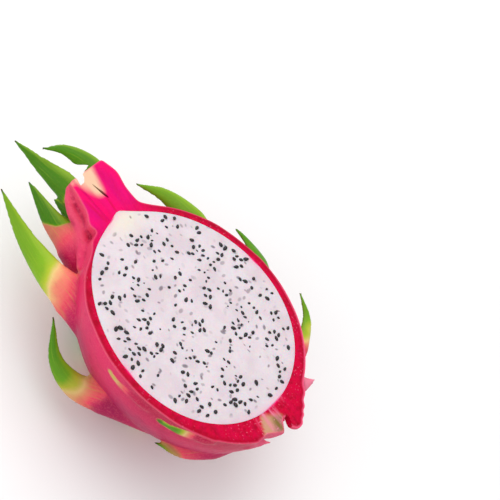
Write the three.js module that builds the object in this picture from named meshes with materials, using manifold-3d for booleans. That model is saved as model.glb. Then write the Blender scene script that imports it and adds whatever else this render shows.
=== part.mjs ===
// Dragon fruit, cut lengthwise: one half lying on its rounded back with the cut face up.
// Millimetres, +Z up. +X runs from the flower end to the stem end.
// The origin is the middle of the small flat spot that the half rests on.
import * as THREE from 'three';
import { mergeVertices } from 'three/addons/utils/BufferGeometryUtils.js';
import Module from 'manifold-3d';

const wasm = await Module();
wasm.setup();

// Outer skin. Its edges and depth are elliptic arches that run into the neck at the flower end.
const WIDEST_X = 4;
const FAR_EDGE = { toFlower: 59, toStem: 52.5, height: 48.4, offset: 0.9, neck: 19.6, blend: 9 };
const NEAR_EDGE = { toFlower: 57, toStem: 56.5, height: 46.9, offset: 0, neck: 4.8, blend: 22 };
const BACK = { toFlower: 60.5, toStem: 56, height: 55, offset: 0, neck: 12, blend: 14 };
const NECK_END_X = -77;
const BODY_END_X = 56;
const RING_CROWDING = 0.1;
const BODY_SIDES = 32;
const BODY_STEPS = 22;

// The cut face lies this high over the surface, and the spot under it is trimmed flat.
const SPOT_TRIM = 1.5;
const CUT_HEIGHT = BACK.height - SPOT_TRIM;

// Crater that the flower left in the end of the neck.
const CRATER = { mouthX: -80, bottomX: -64, y: 6.5, mouthRadius: 9.5, bottomRadius: 1, sides: 9 };

// Stump of the stem.
const STUMP = { startX: 44, endX: 59.5, y: -6, z: -3.5, startRadius: 8, endRadius: 5.2, sides: 9 };

// Flesh. Its outline on the cut face is an egg with a low corner towards the neck.
const FLESH = {
  x: -1.2,
  y: 1.65,
  halfLength: 50.6,
  halfWidth: 44,
  depth: 50.6,
  egg: 0.07,
};
const CORNER_ANGLE = THREE.MathUtils.degToRad(172);
const CORNER_WIDTH = 0.16;
const CORNER_HEIGHT = 0.075;
const CORNER_POINT = 1.3;
const FLESH_SIDES = 36;
const FLESH_RINGS = 16;
const FLESH_GAP = 0.3;

// Seeds in the cut face, half sunk, wide at the foot and narrower on top.
const SEED_COUNT = 170;
const SEED_LENGTH = 2;
const SEED_WIDTH = 1.3;
const SEED_THICK = 0.9;
const SEED_TOP = 0.55;
const SEED_SIDES = 5;
const SEED_SPACING = 3.4;
const SEED_MARGIN = 3.5;
const SEED_RISE = 0.45;
const SEED_START = 20417;

// Bracts, the leafy scales of the skin. Each path starts as a ridge sunk in the skin, leaves it at
// its second point and ends at the tip. `face` is the way that the blade's upper side looks.
const SHOWN_BRACTS = [
  {
    path: [[-12, -32, -26], [-39, -29, -17], [-54, -27, -18], [-73, -24, -18], [-93, -21, -12]],
    face: [0.1, -0.75, 0.65],
    width: 18,
    thick: 12,
  },
  {
    path: [[-43, -13, -22], [-56, -11, -15], [-71, -8, -18], [-90, -5, -16]],
    face: [0.2, -0.7, 0.7],
    width: 15,
    thick: 10,
  },
  {
    path: [[-57, -5, -12], [-65, -1, -15], [-78, 0, -18]],
    face: [0, -0.6, 0.8],
    width: 8,
    thick: 5,
  },
  {
    path: [[-64, 4, -8], [-75, 5, -11], [-90, 4, -13], [-107, 1, -12]],
    face: [0, -0.7, 0.7],
    width: 12.5,
    thick: 6,
  },
  {
    path: [[-62, 13, -7], [-78, 19, -7], [-90, 14, -7], [-96, 3, -4]],
    face: [-0.2, -0.3, 0.93],
    width: 8.5,
    thick: 5,
  },
  {
    path: [[-12, 43, -14], [-32, 42, -9], [-48, 39, -8], [-59, 29, -6]],
    face: [0, -0.3, 0.95],
    width: 9,
    thick: 6,
  },
  {
    path: [[18, 44, -8], [2, 51, -4], [-8, 53, -4], [-17, 51, -2]],
    face: [0.3, 0.4, 0.85],
    width: 8,
    thick: 5,
  },
  {
    path: [[48, 22, -8], [41, 39, -7], [34, 52, -7], [24, 57, -5]],
    face: [0.2, -0.2, 0.95],
    width: 6,
    thick: 4,
  },
  {
    path: [[21, -32, -27], [0, -39, -31], [-12, -44, -34], [-25, -44, -32], [-39, -35, -26]],
    face: [0, -0.55, 0.83],
    width: 14,
    thick: 11,
  },
  {
    path: [[12, -40, -12], [3, -44.5, -8], [-6, -47, -2]],
    face: [0, -0.9, 0.4],
    width: 6,
    thick: 4,
  },
  {
    path: [[46, -24, -8], [36, -36, -5.5], [23, -45, -3]],
    face: [0, -0.85, 0.5],
    width: 7,
    thick: 5,
  },
  {
    path: [[52, -9, -13], [45, -22, -20], [38, -32, -24], [28, -41, -22]],
    face: [0, -0.6, 0.8],
    width: 11.5,
    thick: 9,
  },
  {
    path: [[45, -25, -7], [53, -18, -5], [60, -11, -3]],
    face: [0, -0.5, 0.85],
    width: 6,
    thick: 7,
  },
  {
    path: [[48, 16, -4], [52, 22, -4], [55, 28, -2]],
    face: [0, -0.3, 0.95],
    width: 8,
    thick: 5,
  },
  {
    path: [[48, 20, -7], [56, 15, -6], [63, 7, -5]],
    face: [0, 0.2, 0.95],
    width: 13,
    thick: 11,
  },
];

// Bracts of the underside. `root` is where each leaves the skin, as the distance along the fruit and
// the angle round it, with 0 degrees at the far rim, 90 under the fruit and 180 at the near rim.
// `lift` is how far the tip stands off the skin.
const HIDDEN_BRACTS = [
  { root: [-44, 52], length: 34, lift: 12, width: 16, thick: 7 },
  { root: [-36, 96], length: 36, lift: 10, width: 18, thick: 7 },
  { root: [-12, 48], length: 30, lift: 9, width: 18, thick: 7 },
  { root: [-10, 112], length: 28, lift: 5, width: 17, thick: 6 },
  { root: [-4, 74], length: 26, lift: 4, width: 16, thick: 5 },
  { root: [28, 52], length: 24, lift: 6, width: 17, thick: 6 },
  { root: [24, 112], length: 22, lift: 3, width: 15, thick: 5 },
  { root: [42, 82], length: 20, lift: 4, width: 15, thick: 5 },
];
const HIDDEN_RIDGE_LENGTH = 14;
const HIDDEN_RIDGE_SINK = 2.6;
const HIDDEN_BEND_PLACE = 0.5;
const HIDDEN_BEND_LIFT = 0.55;

// Section of every bract: sides and steps, cup of the blade, taper to the tip.
const BRACT_SIDES = 8;
const BRACT_STEPS = 9;
const BRACT_CUP = 0.12;
const RIDGE_WIDTH = 0.7;
const WIDTH_TAPER = 0.75;
const THICK_TAPER = 1.6;
const TIP_HALF_WIDTH = 0.45;
const TIP_HALF_THICKNESS = 0.35;

// A box wide enough to trim any part of the fruit.
const TRIM_SIZE = 400;

const skinMaterial = new THREE.MeshStandardMaterial({ color: 0xcf3f7f, roughness: 0.45, metalness: 0 });
const fleshMaterial = new THREE.MeshStandardMaterial({ color: 0xece4ea, roughness: 0.35, metalness: 0 });

// The larger of two values, rounded where they cross.
function softMax(first, second, blend) {
  const near = Math.max(blend - Math.abs(first - second), 0) / blend;
  return Math.max(first, second) + near * near * blend / 4;
}

// Distance of an edge from the axis of the fruit at a place along it.
function edge(x, { toFlower, toStem, height, offset, neck, blend }) {
  const along = (x - WIDEST_X) / (x < WIDEST_X ? toFlower : toStem);
  const rest = 1 - along * along;
  const arch = height * Math.sign(rest) * Math.sqrt(Math.abs(rest)) + offset;
  return x < 0 ? softMax(arch, neck, blend) : arch;
}

// Middle, half width and depth of the body's section at a place along it.
function section(x) {
  const far = edge(x, FAR_EDGE);
  const near = -edge(x, NEAR_EDGE);
  return { middle: (far + near) / 2, halfWidth: (far - near) / 2, depth: edge(x, BACK) };
}

// A point of the skin. Heights are measured from the cut face.
function skinPoint([x, degrees]) {
  const { middle, halfWidth, depth } = section(x);
  const angle = THREE.MathUtils.degToRad(degrees);
  return new THREE.Vector3(x, middle + halfWidth * Math.cos(angle), -depth * Math.sin(angle));
}

// The outward direction of the skin at a point of it.
function skinNormal([x, degrees]) {
  const step = 0.5;
  const along = skinPoint([x + step, degrees]).sub(skinPoint([x - step, degrees]));
  const around = skinPoint([x, degrees + step]).sub(skinPoint([x, degrees - step]));
  return along.cross(around).normalize();
}

// Moves every vertex of a geometry and leaves only its positions, with shared vertices merged.
function shaped(source, place) {
  const geometry = source.clone();
  geometry.deleteAttribute('normal');
  geometry.deleteAttribute('uv');
  const position = geometry.attributes.position;
  const point = new THREE.Vector3();
  for (let index = 0; index < position.count; index += 1) {
    point.fromBufferAttribute(position, index);
    place(point);
    position.setXYZ(index, point.x, point.y, point.z);
  }
  return mergeVertices(geometry, 1e-4);
}

function toSolid(geometry) {
  return new wasm.Manifold(new wasm.Mesh({
    numProp: 3,
    vertProperties: new Float32Array(geometry.attributes.position.array),
    triVerts: new Uint32Array(geometry.index.array),
  }));
}

function toGeometry(solid) {
  const mesh = solid.getMesh();
  const geometry = new THREE.BufferGeometry();
  geometry.setAttribute('position', new THREE.BufferAttribute(mesh.vertProperties, 3));
  geometry.setIndex(new THREE.BufferAttribute(mesh.triVerts, 1));
  return geometry;
}

// Everything below the cut face and above the surface that the half lies on.
function trimBox() {
  const box = new THREE.BoxGeometry(TRIM_SIZE, TRIM_SIZE, CUT_HEIGHT);
  return toSolid(shaped(box.translate(0, 0, -CUT_HEIGHT / 2), () => {}));
}

// The whole body, above the cut too, as rings along X that stand closer at the stem end.
function bodySolid() {
  const rings = new THREE.CylinderGeometry(1, 1, 1, BODY_SIDES, BODY_STEPS);
  const span = BODY_END_X - NECK_END_X;
  return toSolid(shaped(rings, (point) => {
    const share = 0.5 - point.y;
    const eased = share + RING_CROWDING * share * Math.sin(Math.PI * share) ** 2;
    const x = BODY_END_X - span * eased;
    const { middle, halfWidth, depth } = section(x);
    point.set(x, middle - halfWidth * point.x, depth * point.z);
  }));
}

// A tapered round bar along X.
function barSolid({ startX, endX, y, z, startRadius, endRadius, sides }) {
  const bar = new THREE.CylinderGeometry(endRadius, startRadius, endX - startX, sides);
  bar.rotateZ(-Math.PI / 2);
  return toSolid(shaped(bar.translate((startX + endX) / 2, y, z), () => {}));
}

function craterSolid() {
  const { mouthX, bottomX, y, mouthRadius, bottomRadius, sides } = CRATER;
  return barSolid({
    startX: mouthX, endX: bottomX, y, z: 0, startRadius: mouthRadius, endRadius: bottomRadius, sides,
  });
}

// A fleshy blade along a curve: a ridge that rises out of the skin, then a leaf that tapers to its tip.
function bladeSolid(points, outward, width, thick) {
  const curve = new THREE.CatmullRomCurve3(points);
  const rootShare = 1 / (points.length - 1);
  const rings = new THREE.CylinderGeometry(1, 1, 1, BRACT_SIDES, BRACT_STEPS);
  return toSolid(shaped(rings, (point) => {
    const share = 0.5 - point.y;
    const centre = curve.getPoint(share);
    const forward = curve.getTangent(share);
    const across = new THREE.Vector3().crossVectors(outward, forward).normalize();
    const through = new THREE.Vector3().crossVectors(forward, across).normalize();
    const leaf = Math.max(share - rootShare, 0) / (1 - rootShare);
    const ridge = Math.min(share / rootShare, 1);
    const swell = RIDGE_WIDTH + (1 - RIDGE_WIDTH) * ridge;
    const halfWidth = Math.max((width / 2) * swell * (1 - leaf) ** WIDTH_TAPER, TIP_HALF_WIDTH);
    const halfThickness = Math.max((thick / 2) * (1 - leaf) ** THICK_TAPER, TIP_HALF_THICKNESS);
    const side = point.x * halfWidth;
    const lift = point.z * halfThickness - BRACT_CUP * halfWidth * point.x ** 2;
    point.copy(centre).addScaledVector(across, side).addScaledVector(through, lift);
  }));
}

function shownBract({ path, face, width, thick }) {
  const points = path.map((place) => new THREE.Vector3(...place));
  return bladeSolid(points, new THREE.Vector3(...face), width, thick);
}

function hiddenBract({ root, length, lift, width, thick }) {
  const [x, degrees] = root;
  const outward = skinNormal(root);
  const skinAt = (distance) => skinPoint([Math.max(x - distance, NECK_END_X), degrees]);
  const points = [
    skinAt(-HIDDEN_RIDGE_LENGTH).addScaledVector(outward, -HIDDEN_RIDGE_SINK),
    skinPoint(root),
    skinAt(length * HIDDEN_BEND_PLACE).addScaledVector(outward, lift * HIDDEN_BEND_LIFT),
    skinAt(length).addScaledVector(outward, lift),
  ];
  return bladeSolid(points, outward, width, thick);
}

// A point of the flesh, from a point of the unit sphere. `grow` swells it for the hollow in the rind.
function fleshPoint(point, grow) {
  const level = Math.hypot(point.x, point.y);
  const angle = Math.atan2(point.y, point.x);
  const turned = angle - CORNER_ANGLE;
  const offCorner = Math.abs(Math.atan2(Math.sin(turned), Math.cos(turned))) / CORNER_WIDTH;
  const reach = level * (1 + CORNER_HEIGHT * level ** 3 * Math.exp(-(offCorner ** CORNER_POINT)));
  point.set(
    FLESH.x + (FLESH.halfLength + grow) * Math.cos(angle) * reach,
    FLESH.y + (FLESH.halfWidth + grow) * Math.sin(angle) * (1 + FLESH.egg * Math.cos(angle)) * reach,
    (FLESH.depth + grow) * point.z,
  );
}

function fleshSolid(grow) {
  const ball = new THREE.SphereGeometry(1, FLESH_SIDES, FLESH_RINGS).rotateX(Math.PI / 2);
  return toSolid(shaped(ball, (point) => fleshPoint(point, grow)));
}

// Pseudo-random numbers from 0 to 1 that are the same every time.
function randomFrom(start) {
  let state = start;
  return () => {
    state = (state * 1664525 + 1013904223) % 4294967296;
    return state / 4294967296;
  };
}

// Seeds strewn over the cut face, each clear of the others and of the flesh's edge.
function seedSolids() {
  const random = randomFrom(SEED_START);
  const places = [];
  while (places.length < SEED_COUNT) {
    const angle = random() * Math.PI * 2;
    const level = Math.sqrt(random());
    const place = new THREE.Vector3(Math.cos(angle) * level, Math.sin(angle) * level, 0);
    fleshPoint(place, -SEED_MARGIN);
    if (places.every((other) => other.distanceTo(place) > SEED_SPACING)) places.push(place);
  }
  return places.map((place) => {
    const seed = new THREE.CylinderGeometry(SEED_TOP, 1, SEED_THICK, SEED_SIDES).rotateX(Math.PI / 2);
    seed.scale(SEED_LENGTH / 2, SEED_WIDTH / 2, 1).rotateZ(random() * Math.PI);
    return toSolid(shaped(seed.translate(place.x, place.y, SEED_RISE - SEED_THICK / 2), () => {}));
  });
}

function namedMesh(name, solid, material) {
  const mesh = new THREE.Mesh(toGeometry(solid), material);
  mesh.name = name;
  return mesh;
}

const half = trimBox();
const bracts = [...SHOWN_BRACTS.map(shownBract), ...HIDDEN_BRACTS.map(hiddenBract)];
const grown = [bodySolid(), barSolid(STUMP), ...bracts].reduce((whole, piece) => whole.add(piece));
const rind = grown.subtract(craterSolid()).subtract(fleshSolid(FLESH_GAP)).intersect(half);
const flesh = seedSolids().reduce((whole, seed) => whole.add(seed), fleshSolid(0).intersect(half));

const group = new THREE.Group();
group.add(namedMesh('rind', rind, skinMaterial));
group.add(namedMesh('flesh', flesh, fleshMaterial));
group.position.z = CUT_HEIGHT;

export default group;
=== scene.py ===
"""A dragon fruit cut lengthwise: a half in its leafy rind, on its back with the cut face up."""

import logging
import math
import random
from dataclasses import dataclass
from enum import Enum
from typing import Any, Iterable, Union

import bmesh
import bpy
import numpy as np
from mathutils import Matrix, Vector, kdtree, noise


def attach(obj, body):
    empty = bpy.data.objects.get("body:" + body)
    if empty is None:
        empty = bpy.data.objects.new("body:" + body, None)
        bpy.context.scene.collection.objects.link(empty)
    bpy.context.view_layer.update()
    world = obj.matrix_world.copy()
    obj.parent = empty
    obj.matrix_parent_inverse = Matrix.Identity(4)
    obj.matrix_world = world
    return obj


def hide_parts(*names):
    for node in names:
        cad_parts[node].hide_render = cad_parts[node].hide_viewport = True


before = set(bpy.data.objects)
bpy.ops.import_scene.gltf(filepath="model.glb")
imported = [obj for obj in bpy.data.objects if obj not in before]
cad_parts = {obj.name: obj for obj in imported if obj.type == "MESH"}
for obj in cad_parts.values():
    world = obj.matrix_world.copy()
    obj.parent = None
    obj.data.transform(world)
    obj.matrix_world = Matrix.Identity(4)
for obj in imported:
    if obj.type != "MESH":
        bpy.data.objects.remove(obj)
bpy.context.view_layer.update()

Colour = tuple[float, float, float, float]
Place = tuple[float, float, float]
Spot = tuple[float, float]
Numbers = np.ndarray
Mesh = bpy.types.Mesh
Material = bpy.types.Material
Shape = bmesh.types.BMesh
Socket = bpy.types.NodeSocket

LOG = logging.getLogger("dragon_fruit")

# Everything is worked out in millimetres with the cut face at height 0, and moved at the end.
CUT_HEIGHT = 53.5
MILLIMETRE = 0.001
TO_FRAME = Matrix.Scale(MILLIMETRE, 4) @ Matrix.Translation((0, 0, CUT_HEIGHT))
SCREEN_WHITE = 255
SCREEN_GAMMA = 2.2


def paint(*parts: int) -> Colour:
    """Turns red, green and blue from 0 to 255 into the linear colour that the shaders use."""
    return (*((part / SCREEN_WHITE) ** SCREEN_GAMMA for part in parts), 1.0)


def smooth_step(value: Any, low: float, high: float) -> Any:
    """Eases from 0 at the low value to 1 at the high one, for a number or an array."""
    share = np.clip((value - low) / (high - low), 0, 1)
    return share * share * (3 - 2 * share)


def soft_max(first: float, second: float, blend: float) -> float:
    """The larger of two values, rounded where they are nearer to each other than the blend."""
    near = max(blend - abs(first - second), 0) / blend
    return max(first, second) + near * near * blend / 4


class Shade:
    """A number in a material's nodes. Arithmetic on it adds Math nodes."""

    def __init__(self, sheet: "NodeSheet", socket: Socket) -> None:
        """Wraps an output socket of a node sheet."""
        self.sheet = sheet
        self.socket = socket

    def __add__(self, other: "Number") -> "Shade":
        """Adds another number."""
        return self.sheet.math("ADD", self, other)

    def __sub__(self, other: "Number") -> "Shade":
        """Takes another number away."""
        return self.sheet.math("SUBTRACT", self, other)

    def __rsub__(self, other: "Number") -> "Shade":
        """Takes this number away from another."""
        return self.sheet.math("SUBTRACT", other, self)

    def __mul__(self, other: "Number") -> "Shade":
        """Multiplies by another number."""
        return self.sheet.math("MULTIPLY", self, other)

    __radd__ = __add__
    __rmul__ = __mul__

    def step(self, low: float, high: float, start: float = 0.0, end: float = 1.0) -> "Shade":
        """Eases from the start to the end as this number goes from low to high."""
        node = self.sheet.node("ShaderNodeMapRange", {"interpolation_type": "SMOOTHSTEP"},
                               {"Value": self, "From Min": low, "From Max": high,
                                "To Min": start, "To Max": end})
        return Shade(self.sheet, node.outputs["Result"])

    def rise(self, low: float, high: float, most: float = 1.0) -> "Shade":
        """Eases up from 0 to the most."""
        return self.step(low, high, 0.0, most)

    def fall(self, low: float, high: float, most: float = 1.0) -> "Shade":
        """Eases down from the most to 0."""
        return self.step(low, high, most, 0.0)


Number = Union[Shade, float]
Link = Union[Shade, Socket, float, tuple]


class NodeSheet:
    """The nodes of one material, which end in a Principled shader."""

    def __init__(self, name: str, **constants: float) -> None:
        """Makes an empty material.

        Args:
            name: The material's name.
            **constants: Values of the shader's sockets, with underscores for spaces.
        """
        self.material = bpy.data.materials.new(name)
        self.material.use_nodes = True
        self.tree = self.material.node_tree
        self.tree.nodes.clear()
        values = {socket.replace("_", " "): value for socket, value in constants.items()}
        self.shader = self.node("ShaderNodeBsdfPrincipled", values=values)
        self.node("ShaderNodeOutputMaterial", values={"Surface": self.shader.outputs["BSDF"]})
        self.place = self.node("ShaderNodeTexCoord").outputs["Object"]

    def node(self, kind: str, settings: dict[str, Any] | None = None,
             values: dict[Union[str, int], Link] | None = None) -> bpy.types.Node:
        """Adds a node, sets it up and feeds its sockets.

        Args:
            kind: The node's type.
            settings: The node's own properties. "stops" holds a colour ramp's stops.
            values: Numbers, colours or links for its sockets, by name or place.

        Returns:
            The new node.
        """
        node = self.tree.nodes.new(kind)
        for name, setting in (settings or {}).items():
            if name == "stops":
                self._set_stops(node.color_ramp, setting)
            else:
                setattr(node, name, setting)
        for name, value in (values or {}).items():
            self.feed(node.inputs[name], value)
        return node

    @staticmethod
    def _set_stops(ramp: bpy.types.ColorRamp, stops: Iterable[tuple[float, Colour]]) -> None:
        """Fills a colour ramp with stops, in the order of their places.

        Args:
            ramp: The ramp.
            stops: Each stop's place from 0 to 1 and its colour.
        """
        stops = list(stops)
        while len(ramp.elements) < len(stops):
            ramp.elements.new(1.0)
        for element, (place, colour) in zip(ramp.elements, stops):
            element.position = place
            element.color = colour

    def feed(self, socket: Socket, value: Link) -> None:
        """Sets an input socket, or links an output to it.

        Args:
            socket: The input.
            value: A constant, or what is linked to it.
        """
        value = value.socket if isinstance(value, Shade) else value
        if isinstance(value, Socket):
            self.tree.links.new(value, socket)
        else:
            socket.default_value = value

    def math(self, operation: str, first: Number, second: Number) -> Shade:
        """Adds a Math node on two numbers."""
        node = self.node("ShaderNodeMath", {"operation": operation}, {0: first, 1: second})
        return Shade(self, node.outputs[0])

    def attributes(self, *names: str) -> list[Shade]:
        """Reads numbers that the mesh stores at its points."""
        nodes = [self.node("ShaderNodeAttribute", {"attribute_name": name}) for name in names]
        return [Shade(self, node.outputs["Fac"]) for node in nodes]

    def stretch(self, scale: Place, vector: Link | None = None) -> Socket:
        """Scales a vector along its axes. It starts from the place on the object."""
        return self.node("ShaderNodeMapping", values={
            "Vector": vector or self.place, "Scale": scale}).outputs["Vector"]

    def vector(self, x: Number, y: Number, z: Number = 0.0) -> Socket:
        """Makes a vector out of three numbers."""
        return self.node("ShaderNodeCombineXYZ", values={0: x, 1: y, 2: z}).outputs[0]

    def cloud(self, scale: float, detail: float = 2.0, vector: Link | None = None) -> Shade:
        """Adds noise from 0 to 1, by how many patches it has to a length and finer layers."""
        node = self.node("ShaderNodeTexNoise", values={
            "Vector": vector or self.place, "Scale": scale, "Detail": detail})
        return Shade(self, node.outputs["Fac"])

    def coats(self, colour: Link, *coats: tuple[Number, Link]) -> Link:
        """Lays coats of colour over one another.

        Args:
            colour: The colour under them all.
            *coats: How much of each coat shows and its colour, from the lowest up.

        Returns:
            The colour that shows.
        """
        for share, coat in coats:
            colour = self.node("ShaderNodeMix", {"data_type": "RGBA"},
                               {0: share, 6: colour, 7: coat}).outputs[2]
        return colour

    def ramp(self, share: Number, stops: Iterable[tuple[float, Colour]]) -> Socket:
        """Turns a number into a colour along a ramp."""
        return self.node("ShaderNodeValToRGB", {"stops": stops}, {"Fac": share}).outputs["Color"]

    def relief(self, *layers: tuple[Shade, float]) -> Socket:
        """Turns patterns into small relief.

        Args:
            *layers: Patterns from 0 to 1 with their depths in millimetres, from the lowest up.

        Returns:
            The normal's socket.
        """
        values: dict[str, Link] = {"Strength": 1.0}
        for height, depth in layers:
            values.update({"Height": height, "Distance": depth * MILLIMETRE})
            values["Normal"] = self.node("ShaderNodeBump", values=values).outputs["Normal"]
        return values["Normal"]

    def finish(self, colour: Link, roughness: Link, normal: Link) -> Material:
        """Feeds the shader and hands over the material.

        Args:
            colour: The base colour.
            roughness: The roughness.
            normal: The relief's normal.

        Returns:
            The material.
        """
        self.feed(self.shader.inputs["Base Color"], colour)
        self.feed(self.shader.inputs["Roughness"], roughness)
        self.feed(self.shader.inputs["Normal"], normal)
        return self.material


@dataclass(frozen=True)
class SkinFinish:
    """The waxy outer skin: pink on the body, and coral, cream, lime and green along the bracts."""

    rosy: Colour = paint(202, 20, 86)
    purple: Colour = paint(158, 18, 84)
    coral: Colour = paint(230, 42, 98)
    # Colour of the painted shade low on the skin.
    shade: Colour = paint(136, 8, 66)
    # Dark red for painted shade in creases and hollows, and for the real streaks on the body.
    crease_shade_and_streaks: Colour = paint(146, 12, 44)
    # Pale pink, used for real speckle and the line along the rim, and for painted highlight on
    # ridges.
    light_edge: Colour = paint(240, 116, 126)
    fold_pink: Colour = paint(244, 92, 120)
    pale_pink: Colour = paint(238, 140, 164)
    dark_green: Colour = paint(46, 98, 6)
    # Lime, also used as painted highlight on one edge of the blades.
    lime: Colour = paint(166, 200, 50)
    brown: Colour = paint(136, 84, 42)
    dark_tip: Colour = paint(52, 46, 24)
    leaf: tuple[tuple[float, Colour], ...] = (
        (0.0, paint(214, 56, 98)),
        (0.16, paint(226, 72, 92)),
        (0.32, paint(232, 136, 108)),
        (0.46, paint(232, 196, 128)),
        (0.6, paint(182, 192, 52)),
        (0.78, paint(110, 164, 20)),
        (1.0, paint(82, 142, 10)),
    )

    def build(self) -> Material:
        """Makes the material.

        Returns:
            The material.
        """
        sheet = NodeSheet("waxy_skin", Subsurface_Weight=0.06, Subsurface_Scale=0.002,
                          Specular_IOR_Level=0.2)
        green, tone, side, across, along, blade, tip, pale = sheet.attributes(
            "green", "tone", "side", "across", "along", "blade", "tip", "pale")
        rim, crease_shade_and_streaks, ridge, groove_shade, neck = sheet.attributes(
            "rim", "crease_shade_and_streaks", "ridge", "groove_shade", "neck")
        height = Shade(sheet, sheet.node("ShaderNodeSeparateXYZ",
                                         values={0: sheet.place}).outputs["Z"])
        body = sheet.coats(
            self.rosy,
            (sheet.cloud(55, 3).rise(0.3, 0.8, 0.75), self.purple),
            (rim.fall(0, 20, 0.58), self.coral),
            # Painted shade: the skin is darker the lower it lies.
            (height.rise(0.046, 0.024, 0.55), self.shade),
            # Painted shade in the shallow groove along the near rim, towards the stem.
            (groove_shade * rim.fall(1, 16, 0.6), self.crease_shade_and_streaks),
            # Painted shade: points that lie below their surroundings are darkened.
            (crease_shade_and_streaks * 0.48, self.crease_shade_and_streaks),
            # Painted highlight: points that stand above their surroundings are lightened.
            (ridge * 0.32, self.light_edge))

        mottled = green + (sheet.cloud(160, 3) - 0.5) * 0.1
        half_green = green.rise(0.12, 0.4) * green.rise(0.8, 0.55)
        full_green = green.rise(0.5, 0.8)
        veins = sheet.cloud(1, 2, sheet.vector(side * 1.6, along * 0.06))
        leaf = sheet.coats(
            sheet.ramp(mottled, self.leaf),
            (tone.rise(0, -1, 0.9) * half_green, self.brown),
            (tone.rise(0, -1, 0.85) * full_green, self.dark_green),
            (tone.rise(0, 1, 0.75) * green.rise(0.4, 0.7), self.lime),
            (veins.rise(0.5, 0.75, 0.22), self.lime),
            # Painted highlight: the long edge of each green blade that faces the light is lightened
            # to lime.
            (across.rise(-0.2, -0.95, 0.5) * full_green, self.lime),
            (tip, self.dark_tip),
            # Painted shade in the creases of the blades.
            (crease_shade_and_streaks * 0.4, self.crease_shade_and_streaks))

        bare = (green * blade).rise(0.5, 0.1)
        fold = neck * rim.fall(4, 15, 0.5) * (1 - crease_shade_and_streaks)
        grain = sheet.cloud(1500)
        streaks = sheet.cloud(420, 3, sheet.stretch((0.25, 1, 1)))
        colour = sheet.coats(
            body,
            (green.rise(0, 0.14) * blade, leaf),
            (fold * bare, self.fold_pink),
            (pale, self.pale_pink),
            (rim.fall(0.25, 0.9, 0.28) * bare, self.light_edge),
            (grain.rise(0.45, 0.7, 0.16) * (bare + 0.15), self.light_edge),
            # Real dark streaks on the body, in the same dark red.
            (streaks.rise(0.52, 0.78, 0.3) * bare, self.crease_shade_and_streaks))
        normal = sheet.relief((grain, 0.06), (sheet.cloud(330), 0.22))
        return sheet.finish(colour, grain.step(0.3, 0.7, 0.36, 0.5), normal)


@dataclass(frozen=True)
class CutRindFinish:
    """The cut rind: moist crimson with hot pink fibres that run out from the flesh."""

    crimson: Colour = paint(204, 0, 56)
    deep: Colour = paint(154, 0, 36)
    hot_pink: Colour = paint(255, 8, 112)
    magenta: Colour = paint(226, 10, 124)
    # Near black for the painted shade inside the slit.
    dark: Colour = paint(50, 6, 20)
    pale_lining: Colour = paint(238, 194, 162)
    pale_pink: Colour = paint(238, 130, 166)
    light_edge: Colour = paint(240, 90, 128)
    cream: Colour = paint(200, 150, 118)
    olive: Colour = paint(130, 108, 62)

    def build(self) -> Material:
        """Makes the material.

        Returns:
            The material.
        """
        sheet = NodeSheet("cut_rind", Subsurface_Weight=0.08, Subsurface_Scale=0.002,
                          Specular_IOR_Level=0.06)
        gap, rim, turn, neck, stem, cream, olive, bitten, slit, far = sheet.attributes(
            "gap", "rim", "turn", "neck", "stem", "cream", "olive", "bite", "slit", "far")
        fibres = sheet.cloud(1, 2, sheet.vector(turn * 0.3, gap * 0.045))
        broad = sheet.cloud(1, 1, sheet.vector(turn * 0.13, gap * 0.03, 5))
        threads = sheet.cloud(1, 3, sheet.vector(turn * 0.55, gap * 0.05, 9))
        spots = sheet.cloud(420, 3)
        meat = sheet.coats(self.hot_pink, (broad.rise(0.35, 0.65), self.magenta))
        wood = sheet.coats(self.cream, (olive, self.olive),
                           (fibres.rise(0.5, 0.7, 0.5), self.pale_pink))
        bite = bitten + (fibres - 0.5) * 1.2 * bitten
        dots = sheet.cloud(1100, 0).rise(0.66, 0.84, 0.34) * (1 - neck + stem)
        colour = sheet.coats(
            self.crimson,
            (spots.rise(0.4, 0.75, 0.8), self.deep),
            (neck * 0.75, meat),
            (fibres.rise(0.32, 0.72) * (0.12 + neck * 0.4), self.hot_pink),
            (threads.rise(0.5, 0.72, 0.55) * neck, self.crimson),
            (rim.fall(0.4, 3.2, 0.6) * (1 - neck), self.deep),
            (gap.fall(0, 0.9, 0.8), self.hot_pink),
            (fibres.rise(0.45, 0.7) * stem, self.pale_pink),
            (cream, wood),
            (bite.rise(0.1, 0.9), self.pale_lining),
            (dots * sheet.cloud(70, 1).rise(0.45, 0.62), self.pale_pink),
            # Painted shade: the walls of the slit below the cut face are near black.
            (slit, self.dark),
            (rim.fall(0.1, 0.85, 0.5) + far * rim.fall(0.5, 1.3, 0.5), self.light_edge))
        normal = sheet.relief((fibres, 0.2), (sheet.cloud(900), 0.12))
        return sheet.finish(colour, spots.step(0.3, 0.7, 0.26, 0.4), normal)


@dataclass(frozen=True)
class LiningFinish:
    """The dry cream lining of the torn mouth in the neck."""

    cream: Colour = paint(238, 204, 158)
    peach: Colour = paint(244, 178, 150)
    olive: Colour = paint(176, 160, 104)

    def build(self) -> Material:
        """Makes the material.

        Returns:
            The material.
        """
        sheet = NodeSheet("cream_lining", Subsurface_Weight=0.05, Subsurface_Scale=0.002,
                          Specular_IOR_Level=0.3)
        fibres = sheet.cloud(260, 3, sheet.stretch((0.2, 1, 1)))
        colour = sheet.coats(self.cream, (fibres.rise(0.35, 0.7), self.peach),
                             (sheet.cloud(90).rise(0.5, 0.75, 0.6), self.olive))
        return sheet.finish(colour, fibres.step(0.3, 0.7, 0.5, 0.65), sheet.relief((fibres, 0.3)))


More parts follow.
